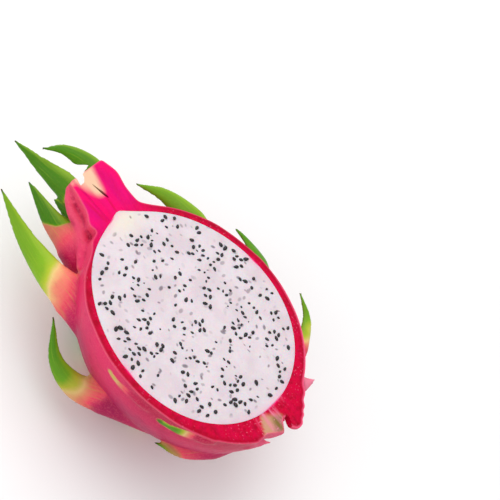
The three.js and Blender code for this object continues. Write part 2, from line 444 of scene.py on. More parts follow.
@dataclass(frozen=True)
class FleshFinish:
    """Moist white flesh with seeds that show grey through it, and a pink glow along its edge."""

    white: Colour = paint(224, 212, 218)
    lilac: Colour = paint(215, 200, 207)
    cream: Colour = paint(232, 222, 206)
    glow: Colour = paint(246, 160, 192)
    hot_pink: Colour = paint(250, 60, 130)
    sunk_seed: Colour = paint(96, 84, 98)

    def build(self) -> Material:
        """Makes the material.

        Returns:
            The material.
        """
        sheet = NodeSheet("white_flesh", Subsurface_Weight=0.35, Subsurface_Scale=0.003,
                          Specular_IOR_Level=0.3)
        rim, corner = sheet.attributes("rim", "corner")
        cells = sheet.cloud(700, 3)
        sunk = [(self._sunk_seeds(sheet, scale, offset) * rim.rise(2.5, 5), self.sunk_seed)
                for scale, offset in ((150, 0), (118, 0.37))]
        colour = sheet.coats(
            self.white,
            (sheet.cloud(75, 4).rise(0.38, 0.66), self.lilac),
            (cells.rise(0.45, 0.75, 0.35), self.lilac),
            (corner * 0.8, self.cream),
            *sunk,
            (rim.fall(0, 3.6, 0.4), self.glow),
            (rim.fall(0.1, 0.8, 0.9), self.hot_pink))
        normal = sheet.relief((cells, 0.08), (sheet.cloud(230), 0.25))
        return sheet.finish(colour, cells.step(0.3, 0.7, 0.3, 0.42), normal)

    @staticmethod
    def _sunk_seeds(sheet: NodeSheet, scale: float, offset: float) -> Shade:
        """Draws soft grey seeds of many sizes, each turned its own way.

        Args:
            sheet: The material's nodes.
            scale: How many seeds fit along a metre.
            offset: Where the pattern starts, so that two patterns differ.

        Returns:
            How much a sunk seed shows, from 0 to 1.
        """
        place = sheet.node("ShaderNodeMapping", values={
            "Vector": sheet.place, "Location": (offset, offset, 0),
            "Scale": (scale, scale, 0)}).outputs["Vector"]
        cell = sheet.node("ShaderNodeTexVoronoi", values={
            "Vector": place, "Scale": 1, "Randomness": 0.95}).outputs
        away = sheet.node("ShaderNodeVectorMath", {"operation": "SUBTRACT"},
                          {0: place, 1: cell["Position"]}).outputs[0]
        parts = sheet.node("ShaderNodeSeparateColor", values={0: cell["Color"]}).outputs
        turn, smaller, shown = (Shade(sheet, part) for part in parts)
        turned = sheet.node("ShaderNodeVectorRotate", {"rotation_type": "Z_AXIS"},
                            {"Vector": away, "Angle": turn * math.tau}).outputs[0]
        reach = sheet.node("ShaderNodeVectorMath", {"operation": "LENGTH"},
                           {0: sheet.stretch((0.62, 1, 0), turned)}).outputs["Value"]
        size = Shade(sheet, reach) + smaller * 0.05
        return size.fall(0.06, 0.135) * shown.rise(0.25, 0.9, 0.75)


@dataclass(frozen=True)
class SeedFinish:
    """Small glossy black seeds with a brown tinge."""

    black: Colour = paint(20, 14, 20)
    brown: Colour = paint(52, 34, 38)

    def build(self) -> Material:
        """Makes the material.

        Returns:
            The material.
        """
        sheet = NodeSheet("black_seed", Specular_IOR_Level=0.5)
        patches = sheet.cloud(900)
        colour = sheet.coats(self.black, (patches.rise(0.45, 0.8, 0.7), self.brown))
        return sheet.finish(colour, patches.step(0.3, 0.7, 0.22, 0.38),
                            sheet.relief((patches, 0.04)))


@dataclass(frozen=True)
class FloorFinish:
    """A plain, almost white floor with a faint mottle."""

    light: Colour = paint(250, 250, 250)
    dull: Colour = paint(246, 246, 246)

    def build(self) -> Material:
        """Makes the material.

        Returns:
            The material.
        """
        sheet = NodeSheet("pale_floor", Specular_IOR_Level=0.2)
        mottle = sheet.cloud(12)
        colour = sheet.coats(self.light, (mottle, self.dull))
        return sheet.finish(colour, mottle.step(0, 1, 0.6, 0.7), sheet.relief((mottle, 0.02)))


class Face(Enum):
    """The kinds of surface on the rind, in the order of its material slots."""

    SKIN = 0
    CUT = 1
    LINING = 2

    def mark(self, shape: Shape) -> Shape:
        """Gives all the faces of a shape this kind.

        Args:
            shape: The shape, which is changed.

        Returns:
            The same shape.
        """
        for face in shape.faces:
            face.material_index = self.value
        return shape


def unit_tube(sides: int, steps: int) -> Shape:
    """Makes a closed tube of radius 1 that stands from height 0 to 1.

    Args:
        sides: How many sides it has.
        steps: How many rings of faces it has.

    Returns:
        The tube.
    """
    tube = bmesh.new()
    bmesh.ops.create_cone(tube, cap_ends=True, cap_tris=False, segments=sides, radius1=1,
                          radius2=1, depth=1, matrix=Matrix.Translation((0, 0, 0.5)))
    upright = [edge for edge in tube.edges
               if abs(edge.verts[0].co.z - edge.verts[1].co.z) > 0.5]
    bmesh.ops.subdivide_edges(tube, edges=upright, cuts=steps - 1, use_grid_fill=True)
    return tube


def vertices_of(parts: Iterable[Any]) -> list[bmesh.types.BMVert]:
    """Picks the vertices out of what a bmesh operator made."""
    return [part for part in parts if isinstance(part, bmesh.types.BMVert)]


def to_mesh(shape: Shape, name: str, outward: bool = True) -> Mesh:
    """Turns a bmesh into a mesh and frees it.

    Args:
        shape: The bmesh.
        name: The mesh's name.
        outward: Whether its normals are worked out again, to point outwards.

    Returns:
        The mesh.
    """
    if outward:
        bmesh.ops.remove_doubles(shape, verts=shape.verts, dist=1e-5)
        bmesh.ops.recalc_face_normals(shape, faces=shape.faces)
    mesh = bpy.data.meshes.new(name)
    shape.to_mesh(mesh)
    shape.free()
    return mesh


def add_object(name: str, data: Any) -> bpy.types.Object:
    """Makes an object of some data and puts it into the scene.

    Args:
        name: The object's name.
        data: A mesh, light or camera.

    Returns:
        The object.
    """
    made = bpy.data.objects.new(name, data)
    bpy.context.scene.collection.objects.link(made)
    return made


def with_modifier(mesh: Mesh, kind: str, **settings: Any) -> Mesh:
    """Applies one modifier to a mesh.

    Args:
        mesh: The mesh, which is used up.
        kind: The modifier's type.
        **settings: The modifier's properties.

    Returns:
        The changed mesh.
    """
    carrier = add_object("carrier", mesh)
    modifier = carrier.modifiers.new(kind.lower(), kind)
    for name, setting in settings.items():
        setattr(modifier, name, setting)
    changed = carrier.evaluated_get(bpy.context.evaluated_depsgraph_get())
    result = bpy.data.meshes.new_from_object(changed)
    bpy.data.objects.remove(carrier)
    bpy.data.meshes.remove(mesh)
    return result


def carve(mesh: Mesh, cutter: Mesh, operation: str,
          materials: Iterable[Material], whole_share: float = 0.95) -> Mesh:
    """Cuts a mesh with another one, or keeps what both hold.

    Args:
        mesh: The mesh that is cut, which is used up.
        cutter: The mesh that cuts, which is used up.
        operation: DIFFERENCE or INTERSECT.
        materials: The materials that both number their faces by.
        whole_share: The share of the mesh's length that has to be left.

    Returns:
        The carved mesh.
    """
    for part in (mesh, cutter):
        if not part.materials:
            for material in materials:
                part.materials.append(material)
    holder = add_object("cutter", cutter)
    enough = whole_share * mesh_length(mesh)
    for solver in ("MANIFOLD", "EXACT", "EXACT"):
        result = with_modifier(mesh.copy(), "BOOLEAN", object=holder, operation=operation,
                               solver=solver)
        if mesh_length(result) > enough:
            break
        LOG.warning("%s with the %s solver lost part of the mesh", cutter.name, solver)
    bpy.data.objects.remove(holder)
    for part in (mesh, cutter):
        bpy.data.meshes.remove(part)
    return result


def coordinates(mesh: Mesh) -> Numbers:
    """The places of a mesh's points, as an array with a row for each.

    Args:
        mesh: The mesh.

    Returns:
        The places, in the mesh's own unit.
    """
    flat = np.empty(len(mesh.vertices) * 3, np.float32)
    mesh.vertices.foreach_get("co", flat)
    return flat.reshape(-1, 3).astype(float)


def mesh_length(mesh: Mesh) -> float:
    """How long a mesh is along the fruit, or 0 if it is empty."""
    along = coordinates(mesh)[:, 0]
    return float(along.max() - along.min()) if len(along) else 0.0


def bend(mesh: Mesh, rounds: int = 8) -> Numbers:
    """How far each point lies below its surroundings, so that creases get painted shade and edges
    painted highlight.

    Args:
        mesh: The mesh.
        rounds: How often the surroundings are averaged.

    Returns:
        The depth at each point, in millimetres, above 0 in creases and below 0 on edges.
    """
    points = coordinates(mesh)
    ends = np.empty(len(mesh.edges) * 2, np.int64)
    mesh.edges.foreach_get("vertices", ends)
    ends = np.concatenate((ends.reshape(-1, 2), ends.reshape(-1, 2)[:, ::-1]))
    count = np.maximum(np.bincount(ends[:, 0], minlength=len(points)), 1)[:, None]
    smoothed = points
    for _ in range(rounds):
        total = np.column_stack([np.bincount(ends[:, 0], smoothed[ends[:, 1], axis],
                                             minlength=len(points)) for axis in range(3)])
        smoothed = 0.5 * smoothed + 0.5 * total / count
    normals = np.empty(len(points) * 3, np.float32)
    mesh.vertices.foreach_get("normal", normals)
    return ((smoothed - points) * normals.reshape(-1, 3)).sum(1)


def store(mesh: Mesh, values: dict[str, Numbers]) -> None:
    """Stores named numbers at the points of a mesh.

    Args:
        mesh: The mesh.
        values: Each name's number at each point.
    """
    for name, numbers in values.items():
        layer = mesh.attributes.new(name, "FLOAT", "POINT")
        layer.data.foreach_set("value", np.ascontiguousarray(numbers, np.float32))


def add_piece(mesh: Mesh, name: str, materials: Iterable[Material],
              node: str, sharp_degrees: float | None = None) -> None:
    """Puts a finished mesh into the scene as a piece of the fruit.

    Args:
        mesh: The mesh, in millimetres from the cut face.
        name: The piece's name.
        materials: Its materials.
        node: The CAD node that it stands for.
        sharp_degrees: The bend from which an edge is drawn sharp, or None for no sharp edge.
    """
    mesh.polygons.foreach_set("use_smooth", np.ones(len(mesh.polygons), bool))
    if sharp_degrees is not None:
        mesh.set_sharp_from_angle(angle=math.radians(sharp_degrees))
    mesh.transform(TO_FRAME)
    mesh.name = name
    if not mesh.materials:
        for material in materials:
            mesh.materials.append(material)
    piece = add_object(name, mesh)
    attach(piece, "root")
    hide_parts(node)
    LOG.info("%s: %d points, %d faces", name, len(mesh.vertices), len(mesh.polygons))


@dataclass(frozen=True)
class Arch:
    """One edge of the body: an elliptic arch that runs into the neck at the flower end."""

    to_flower: float
    to_stem: float
    height: float
    offset: float
    neck: float
    blend: float
    widest_x: float = 4.0

    def reach(self, x: float) -> float:
        """How far the edge is from the fruit's axis at a place along it.

        Args:
            x: The place along the fruit.

        Returns:
            The distance, below 0 past the arch's ends.
        """
        along = (x - self.widest_x) / (self.to_flower if x < self.widest_x else self.to_stem)
        rest = 1 - along * along
        arch = self.height * math.copysign(math.sqrt(abs(rest)), rest) + self.offset
        return soft_max(arch, self.neck, self.blend) if x < 0 else arch


@dataclass(frozen=True)
class Swell:
    """A low swelling of the skin, or a dent where its height is negative."""

    x: float
    degrees: float
    height: float
    length: float
    spread: float

    def rise(self, x: float, degrees: float) -> float:
        """How far the skin rises at a place."""
        away = ((x - self.x) / self.length) ** 2 + ((degrees - self.degrees) / self.spread) ** 2
        return self.height * math.exp(-away)


@dataclass(frozen=True)
class Body:
    """The body of the fruit with its neck, above the cut too."""

    far_edge: Arch = Arch(59, 52.5, 48.4, 0.9, 19.6, 9)
    near_edge: Arch = Arch(57, 56.5, 46.9, 0, 4.8, 22)
    back: Arch = Arch(60.5, 56, 55, 0, 12, 14)
    neck_end_x: float = -77.0
    end_x: float = 56.0
    crowding: float = 0.1
    lumps: float = 0.5
    lump_size: float = 16.0
    sides: int = 120
    steps: int = 100
    swells: tuple[Swell, ...] = (
        Swell(-69, 0, 2.3, 6, 45),
        Swell(-76, 180, -3.4, 10, 50),
        Swell(-57, 180, 3.4, 4, 45),
        Swell(-48, 180, -3.0, 4, 40),
        Swell(26, 180, -1.4, 40, 11),
    )

    def section(self, x: float) -> tuple[float, float, float]:
        """The middle, half width and depth of the section at a place along the fruit.

        Args:
            x: The place along the fruit.

        Returns:
            The middle's y, half the width and the depth.
        """
        far = self.far_edge.reach(x)
        near = -self.near_edge.reach(x)
        return (far + near) / 2, (far - near) / 2, self.back.reach(x)

    def skin_point(self, x: float, degrees: float) -> Vector:
        """A point of the skin, from the far rim at 0 degrees round the back to 180.

        Args:
            x: The place along the fruit.
            degrees: The way round it.

        Returns:
            The point.
        """
        middle, half_width, depth = self.section(x)
        angle = math.radians(degrees)
        return Vector((x, middle + half_width * math.cos(angle), -depth * math.sin(angle)))

    def skin_normal(self, x: float, degrees: float) -> Vector:
        """The outward direction of the skin at a point of it.

        Args:
            x: The place along the fruit.
            degrees: The way round it.

        Returns:
            The direction.
        """
        step = 0.5
        along = self.skin_point(x + step, degrees) - self.skin_point(x - step, degrees)
        around = self.skin_point(x, degrees + step) - self.skin_point(x, degrees - step)
        return along.cross(around).normalized()

    def build(self, shape: Shape) -> None:
        """Adds the body to a bmesh.

        Args:
            shape: The bmesh.
        """
        tube = unit_tube(self.sides, self.steps)
        for vert in tube.verts:
            share = vert.co.z
            eased = share + self.crowding * share * math.sin(math.pi * share) ** 2
            x = self.end_x - (self.end_x - self.neck_end_x) * eased
            middle, half_width, depth = self.section(x)
            degrees = math.degrees(math.atan2(abs(vert.co.y), vert.co.x))
            aside, down = half_width * vert.co.x, depth * vert.co.y
            rise = sum(swell.rise(x, degrees) for swell in self.swells)
            rise += self.lumps * noise.noise(Vector((x, aside, down)) / self.lump_size)
            on_skin = math.hypot(vert.co.x, vert.co.y) > 0.5
            grow = 1 + rise / max(math.hypot(aside, down), 1.0) if on_skin else 1
            vert.co = (x, middle + aside * grow, down * grow)
        merge_into(shape, tube)


def merge_into(shape: Shape, part: Shape) -> None:
    """Adds a part to a bmesh, with its normals worked out again, and frees it.

    Args:
        shape: The bmesh that grows.
        part: The part, which is used up.
    """
    mesh = to_mesh(part, "part")
    shape.from_mesh(mesh)
    bpy.data.meshes.remove(mesh)


@dataclass(frozen=True)
class Bract:
    """A leafy scale: a fleshy blade along a curve that rises out of the skin and ends in a tip.

    The path starts sunk in the skin, leaves it at its second point and ends at the tip. The face
    is the way that the upper side looks. Green begins and is full at two shares of the path, and
    the tone runs from -1, dark green, to 1, lime. The margin of reach is how far the blade's
    colour goes on beside it, over it and past its ends.
    """

    path: tuple[Place, ...]
    face: Place
    width: float
    thick: float
    green_from: float = 0.3
    green_to: float = 0.68
    tone: float = 0.0
    green: float = 1.0
    ripple: float = 0.0
    waves: float = 0.0
    sides: int = 20
    steps: int = 56
    ridge_width: float = 0.7
    cup: float = 0.12
    width_taper: float = 0.75
    thick_taper: float = 1.2
    tip_half_width: float = 0.6
    tip_half_thickness: float = 0.85
    overrun: float = 0.012
    margin: float = 0.5
    warm: float = 0.0
    skew: float = 0.0
    wander: float = 0.15
    dark_tip: float = 1.0
    pale: float = 0.0
    stations: int = 140
    reach_margin: Place = (0.5, 0.9, 1.5)
    reach_edge: Spot = (1.0, 1.45)
    dark_tip_span: Spot = (0.955, 1.0)
    pale_span: Spot = (0.4, 0.7)

    def centre(self, share: float) -> Vector:
        """A point of the curve through the path's points, at a share of the way to the tip.

        Args:
            share: From 0 at the root to 1 at the tip.

        Returns:
            The point.
        """
        points = [Vector(place) for place in self.path]
        last = len(points) - 1
        share *= 1 + self.overrun
        span = min(int(share * last), last - 1)
        part = share * last - span
        start, end = points[span], points[span + 1]
        before = points[span - 1] if span else start * 2 - end
        after = points[span + 2] if span + 2 <= last else end * 2 - start
        lead = math.sqrt((start - before).length)
        step = math.sqrt((end - start).length)
        trail = math.sqrt((after - end).length)
        out = ((start - before) / lead - (end - before) / (lead + step) + (end - start) / step)
        into = ((end - start) / step - (after - start) / (step + trail) + (after - end) / trail)
        leave, arrive = out * step, into * step
        cube = start * 2 - end * 2 + leave + arrive
        square = end * 3 - start * 3 - leave * 2 - arrive
        return start + leave * part + square * part ** 2 + cube * part ** 3

    def station(self, share: float) -> tuple[Vector, Vector, Vector, float, float]:
        """The section of the blade at a share of its path.

        Args:
            share: From 0 at the root to 1 at the tip.

        Returns:
            The middle, the ways across and through the blade, and its half width and thickness.
        """
        step = 0.005
        ahead = self.centre(min(share + step, 1))
        forward = (ahead - self.centre(max(share - step, 0))).normalized()
        across = Vector(self.face).cross(forward).normalized()
        through = forward.cross(across).normalized()
        root = 1 / (len(self.path) - 1)
        leaf = max(share - root, 0) / (1 - root)
        ridge = min(share / root, 1)
        swell = self.ridge_width + (1 - self.ridge_width) * ridge
        swell *= 1 + self.ripple * math.sin(math.tau * self.waves * share)
        half_width = self.width / 2 * swell * (1 - leaf) ** self.width_taper
        half_thickness = self.thick / 2 * (1 - leaf) ** self.thick_taper
        half_width = max(half_width + self.margin * (1 - leaf), self.tip_half_width)
        return (self.centre(share), across, through, half_width,
                max(half_thickness, self.tip_half_thickness))

    def build(self, shape: Shape) -> None:
        """Adds the blade to a bmesh.

        Args:
            shape: The bmesh.
        """
        tube = unit_tube(self.sides, self.steps)
        stations = {}
        for vert in tube.verts:
            share = round(vert.co.z, 4)
            if share not in stations:
                stations[share] = self.station(share)
            centre, across, through, half_width, half_thickness = stations[share]
            side = vert.co.x * half_width
            lift = vert.co.y * half_thickness - self.cup * half_width * vert.co.x ** 2
            vert.co = centre + across * side + through * lift
        merge_into(shape, tube)

    def measure(self, points: Numbers) -> tuple[Numbers, dict[str, Numbers]]:
        """Finds the points of the rind that belong to this blade.

        Args:
            points: The places of all the points.

        Returns:
            The numbers of the points near the blade, and for each of them how much it belongs
            to the blade, its share of the path, its place across and how far along it is.
        """
        rows = [self.station(share) for share in np.linspace(0, 1, self.stations)]
        centre, across, through, half_width, half_thickness = map(np.array, zip(*rows))
        room = half_width.max() + 3
        inside = np.all((points > centre.min(0) - room) & (points < centre.max(0) + room), 1)
        near = np.flatnonzero(inside)
        away = points[near, None, :] - centre[None]
        nearest = np.argmin((away ** 2).sum(2), 1)
        away = away[np.arange(len(near)), nearest]
        side = (away * across[nearest]).sum(1)
        width = half_width[nearest]
        lift = (away * through[nearest]).sum(1) + self.cup * side ** 2 / width
        ahead = (away * np.cross(across, through)[nearest]).sum(1)
        beside, over, past = self.reach_margin
        reach = np.hypot(side / (width + beside), lift / (half_thickness[nearest] + over))
        reach = np.hypot(reach, ahead / past)
        steps = np.linalg.norm(np.diff(centre, axis=0), axis=1)
        distance = np.concatenate(([0.0], np.cumsum(steps)))
        return near, {
            "belongs": 1 - smooth_step(reach, *self.reach_edge),
            "share": nearest / (len(rows) - 1),
            "side": side,
            "across": side / width,
            "along": distance[nearest],
        }


SHOWN_BRACTS = (
    Bract(((-12, -30, -25), (-39, -28, -16.5), (-54, -27, -18), (-73, -24, -18), (-93, -21, -12)),
          (0.1, -0.75, 0.65), 17, 11, green_from=0.15, green_to=0.72, tone=0.4, skew=0.06,
          wander=0.05, ridge_width=0.5),
    Bract(((-43, -13, -22), (-56, -11, -15), (-71, -8, -18), (-90, -5, -16)),
          (0.2, -0.7, 0.7), 15, 10, green_from=0.57, green_to=0.62, tone=-0.6, skew=-0.09,
          warm=0.27, wander=0.03),
    Bract(((-57, -5, -12), (-65, -1, -15), (-78, 0, -18)),
          (0, -0.6, 0.8), 8, 5, green_from=0.1, green_to=0.4, tone=-0.7),
    Bract(((-64, 4, -8), (-75, 5, -11), (-90, 4, -13), (-107, 1, -12)),
          (0, -0.7, 0.7), 12.5, 6, green_from=0.1, green_to=0.36, tone=-0.5),
    Bract(((-62, 13.6, -7), (-78, 18.5, -7), (-90, 13.5, -6), (-96, 3.5, -4)),
          (-0.2, -0.3, 0.93), 9.4, 5, green_from=0.1, green_to=0.34, tone=-0.4),
    Bract(((-12, 43, -14), (-32, 42.5, -9), (-48, 39.5, -8), (-60, 30, -6)),
          (0, -0.3, 0.95), 11.5, 6, green_from=0.05, green_to=0.3, tone=0.35),
    Bract(((18, 44, -8), (2, 51, -4), (-8, 53.5, -4), (-17, 52, -2)),
          (0.3, 0.4, 0.85), 9.5, 5, green_from=0.05, green_to=0.4),
    Bract(((48, 22, -8), (41, 39, -7), (34, 52, -7), (23.5, 57.5, -5)),
          (0.2, -0.2, 0.95), 7, 4, green_from=0.1, green_to=0.8, tone=0.3),
    Bract(((21, -32, -27), (0, -39, -31), (-12, -44, -34), (-25, -44, -32), (-39, -35, -26)),
          (0, -0.55, 0.83), 14, 11, green_from=0.14, green_to=0.85, tone=-0.4,
          skew=-0.03, wander=0.08),
    Bract(((15.5, -43.8, -4.2), (10, -44.6, -4.4), (5.5, -45, -4.8), (1.5, -45.2, -5.6),
           (-2, -45.1, -6), (-5.5, -44.9, -5.4)),
          (0, -0.98, 0.2), 3.2, 3.4, green_from=0.3, green_to=0.9, tone=-0.4, green=0.52,
          wander=0.02, width_taper=1.0, dark_tip=0),
    Bract(((43, -32, -1.6), (39.5, -34.5, -2.4), (34, -37.6, -3), (29, -40.2, -4.2),
           (26, -41.6, -5), (22.5, -42.9, -5.2)),
          (0, -0.85, 0.5), 4.4, 4, green_from=0.3, green_to=0.66, tone=-0.3, wander=0.03,
          width_taper=1.0, dark_tip=0.5),
    Bract(((52, -9, -13), (45, -22, -20), (38, -32, -24), (28, -41, -22)),
          (0, -0.6, 0.8), 11.5, 9, green_from=0.7, green_to=1.04, tone=-0.7, skew=0.08,
          warm=0.12, wander=0.08),
    Bract(((45, -25, -7), (53, -18, -5), (60, -11, -3)),
          (0, -0.5, 0.85), 6, 7, green=0.0, dark_tip=0, pale=0.3),
    Bract(((48, 16, -4), (52, 22, -4), (55, 28, -2)),
          (0, -0.3, 0.95), 8, 5, green=0.0, dark_tip=0, pale=0.85),
    Bract(((41, 22, -2), (48, 18.5, -1.5), (55, 10.8, -1), (59, 6, -0.8), (62.6, 1.6, -0.6)),
          (0, 0.2, 0.95), 10, 9, green=0.0, dark_tip=0, ripple=0.12, waves=6, width_taper=0.15,
          thick_taper=0.15),
    Bract(((-46, -19, -10), (-55, -10.5, -9), (-61.5, -6.6, -8.2), (-67, -5.2, -7.6),
           (-72, -3.4, -6), (-75.5, -1.6, -4.4)),
          (0, -0.75, 0.65), 5, 5, green=0.0, dark_tip=0, width_taper=0.3, thick_taper=0.3),
)


@dataclass(frozen=True)
class HiddenBract:
    """A bract on the back of the fruit, given by where it leaves the skin."""

    x: float
    degrees: float
    length: float
    lift: float
    width: float
    thick: float
    ridge_length: float = 14.0
    ridge_sink: float = 2.6
    bend_lift: float = 0.55

    def on(self, body: Body) -> Bract:
        """The bract's blade on a body.

        Args:
            body: The body that it grows on.

        Returns:
            The bract.
        """
        outward = body.skin_normal(self.x, self.degrees)

        def above(distance: float, height: float) -> Place:
            """A point over the skin, nearer to the flower by a distance."""
            x = max(self.x - distance, body.neck_end_x)
            return tuple(body.skin_point(x, self.degrees) + outward * height)

        path = (above(-self.ridge_length, -self.ridge_sink), above(0, 0),
                above(self.length / 2, self.lift * self.bend_lift), above(self.length, self.lift))
        return Bract(path, tuple(outward), self.width, self.thick, wander=0.05)


HIDDEN_BRACTS = (
    HiddenBract(-42, 54, 26, 9, 15, 7),
    HiddenBract(-36, 96, 36, 10, 18, 7),
    HiddenBract(-12, 48, 30, 9, 18, 7),
    HiddenBract(-10, 112, 28, 5, 17, 6),
    HiddenBract(-4, 74, 26, 4, 16, 5),
    HiddenBract(28, 52, 24, 6, 17, 6),
    HiddenBract(24, 112, 22, 3, 15, 5),
    HiddenBract(42, 82, 20, 4, 15, 5),
)


@dataclass(frozen=True)
class Flesh:
    """The white flesh: an egg with a low corner towards the neck, cut level on top."""

    x: float = -1.2
    y: float = 1.65
    half_length: float = 50.6
    half_width: float = 44.0
    depth: float = 50.6
    egg: float = 0.07
    corner_angle: float = math.radians(172)
    corner_width: float = 0.16
    corner_height: float = 0.075
    corner_point: float = 1.3
    around: int = 160
    rings: int = 80
    crown: float = 0.35
    gap: float = 0.04

    def outline(self, angle: float, level: float = 1.0, grow: float = 0.0) -> Spot:
        """A point of the flesh seen from above.

        Args:
            angle: The way from its middle.
            level: From 0 in the middle to 1 at the edge.
            grow: How far it is swollen.

        Returns:
            The point's x and y.
        """
        turned = angle - self.corner_angle
        off_corner = abs(math.atan2(math.sin(turned), math.cos(turned))) / self.corner_width
        corner = self.corner_height * level ** 3 * math.exp(-off_corner ** self.corner_point)
        reach = level * (1 + corner)
        return (self.x + (self.half_length + grow) * math.cos(angle) * reach,
                self.y + (self.half_width + grow) * math.sin(angle)
                * (1 + self.egg * math.cos(angle)) * reach)

    def egg_shape(self, grow: float, level_top: bool) -> Shape:
        """Makes the whole egg, or the egg with a level top.

        Args:
            grow: How far it is swollen.
            level_top: Whether its upper half is pressed down to the cut face.

        Returns:
            The shape.
        """
        shape = bmesh.new()
        bmesh.ops.create_uvsphere(shape, u_segments=self.around, v_segments=self.rings, radius=1)
        for vert in shape.verts:
            level = math.hypot(vert.co.x, vert.co.y)
            angle = math.atan2(vert.co.y, vert.co.x)
            x, y = self.outline(angle, level, grow)
            z = (self.depth + grow) * vert.co.z
            if level_top and vert.co.z > 1e-4:
                z = self.top(x, y, level)
            vert.co = (x, y, z)
        return shape

    def top(self, x: float, y: float, level: float) -> float:
        """The height of the cut flesh, which rises a little towards its middle."""
        waves = noise.noise(Vector((x, y, 0)) / 9) * 0.1 + noise.noise(Vector((x, y, 5)) / 3) * 0.04
        return (self.crown + waves) * (1 - level ** 6)

    def hollow(self) -> Shape:
        """The hollow in the rind that holds the flesh."""
        return self.egg_shape(self.gap, level_top=False)

    def from_edge(self, points: Numbers) -> tuple[Numbers, Numbers]:
        """The way of each point from the flesh's middle, and how far it is from the edge.

        Args:
            points: The places of all the points.

        Returns:
            The angles and the distances.
        """
        angle = np.arctan2(points[:, 1] - self.y, points[:, 0] - self.x)
        edge = np.array([self.outline(turn) for turn in angle])
        return angle, np.hypot(edge[:, 0] - points[:, 0], edge[:, 1] - points[:, 1])

    def build(self) -> None:
        """Makes the flesh as a piece."""
        mesh = to_mesh(self.egg_shape(0.0, level_top=True), "flesh")
        points = coordinates(mesh)
        tip = self.outline(self.corner_angle)
        from_tip = np.hypot(points[:, 0] - tip[0], points[:, 1] - tip[1])
        store(mesh, {
            "rim": np.where(points[:, 2] < -0.5, 0.0, self.from_edge(points)[1]),
            "corner": 1 - smooth_step(from_tip, 4, 18),
        })
        add_piece(mesh, "flesh_body", [FleshFinish().build()], "flesh", 40)


@dataclass(frozen=True)
class Seeds:
    """The seeds that the cut shows, half sunk in the flesh, some alone and some in clusters."""

    flesh: Flesh
    count: int = 275
    length: float = 2.55
    width: float = 1.68
    thick: float = 1.2
    sizes: Spot = (0.76, 1.2)
    tilt: float = 0.45
    rest_share: float = 0.7
    rest_wander: Spot = (-0.4, 0.12)
    spacing: float = 2.1
    margin: float = 2.6
    corner_room: float = 11.0
    clustered: float = 0.34
    cluster_reach: Spot = (1.0, 1.5)
    start: int = 20417

    def places(self) -> list[Spot]:
        """Where the seeds are, by a rule with a fixed start.

        Returns:
            Each seed's x and y.
        """
        chance = random.Random(self.start)
        found: list[Spot] = []
        while len(found) < self.count:
            if found and chance.random() < self.clustered:
                beside = chance.choice(found)
                turn = chance.uniform(0, math.tau)
                reach = chance.uniform(*self.cluster_reach) * self.spacing
                spot = (beside[0] + reach * math.cos(turn), beside[1] + reach * math.sin(turn))
            else:
                angle = chance.uniform(0, math.tau)
                level = math.sqrt(chance.random())
                spot = self.flesh.outline(angle, level)
            if self._fits(spot, found):
                found.append(spot)
        return found

    def _fits(self, spot: Spot, found: list[Spot]) -> bool:
        """Whether a seed at a spot is clear of the others, the edge and the empty corner.

        Args:
            spot: Where the seed would be.
            found: Where the others are.

        Returns:
            Whether it fits.
        """
        middle = (self.flesh.x, self.flesh.y)
        edge = self.flesh.outline(math.atan2(spot[1] - middle[1], spot[0] - middle[0]))
        tip = self.flesh.outline(self.flesh.corner_angle)
        room = math.dist(edge, middle) - math.dist(spot, middle)
        if room < self.margin or math.dist(spot, tip) < self.corner_room:
            return False
        return all(math.dist(spot, other) >= self.spacing for other in found)

    def build(self) -> None:
        """Makes all the seeds as one piece."""
        chance = random.Random(self.start + 1)
        shape = bmesh.new()
        for x, y in self.places():
            size = chance.uniform(*self.sizes)
            turn = (Matrix.Rotation(chance.uniform(0, math.tau), 4, "Z")
                    @ Matrix.Rotation(chance.uniform(-self.tilt, self.tilt), 4, "Y"))
            height = self.flesh.crown * self.rest_share + chance.uniform(*self.rest_wander)
            made = bmesh.ops.create_uvsphere(shape, u_segments=8, v_segments=6, radius=0.5)
            for vert in made["verts"]:
                narrow = 1 - 0.75 * max(vert.co.x + 0.1, 0)
                vert.co = (vert.co.x * self.length, vert.co.y * self.width * narrow,
                           vert.co.z * self.thick * narrow)
            move = Matrix.Translation((x, y, height)) @ turn @ Matrix.Scale(size, 4)
            bmesh.ops.transform(shape, matrix=move, verts=made["verts"])
        add_piece(to_mesh(shape, "seeds"), "seeds", [SeedFinish().build()], "flesh")


@dataclass(frozen=True)
class Stump:
    """The stump of the stem, a short round post along the cut face."""

    start: Place = (46, 0.5, -3.5)
    end: Place = (58.4, -7.8, -3)
    start_radius: float = 7.0
    end_radius: float = 5.4
    sides: int = 28
    steps: int = 12
    paint_middle: Spot = (51, -3)
    paint_turn: tuple[Spot, Spot] = ((0.83, 0.56), (-0.56, 0.83))

    def build(self, shape: Shape) -> None:
        """Adds the stump to a bmesh.

        Args:
            shape: The bmesh.
        """
        tube = unit_tube(self.sides, self.steps)
        start, end = Vector(self.start), Vector(self.end)
        aside = Vector((0, 0, 1)).cross(end - start).normalized()
        for vert in tube.verts:
            radius = self.start_radius + (self.end_radius - self.start_radius) * vert.co.z
            vert.co = (start.lerp(end, vert.co.z) + aside * radius * vert.co.x
                       + Vector((0, 0, radius * vert.co.y)))
        merge_into(shape, tube)

    def values(self, points: Numbers) -> dict[str, Numbers]:
        """How much each point is wood, olive wood and pale flesh of the stem.

        Args:
            points: The places of all the points.

        Returns:
            Each name's number at each point.
        """
        along, across = ((points[:, :2] - self.paint_middle) @ np.array(self.paint_turn)).T
        wide = np.abs(across)
        cream = smooth_step(along, -0.5, 2.5) * (1 - smooth_step(wide, 5.0, 6.0))
        return {
            "cream": cream,
            "olive": cream * smooth_step(across, -1.5, 2.0),
            "stem": smooth_step(along, -9, -3) * (1 - smooth_step(wide, 5, 9)),
        }


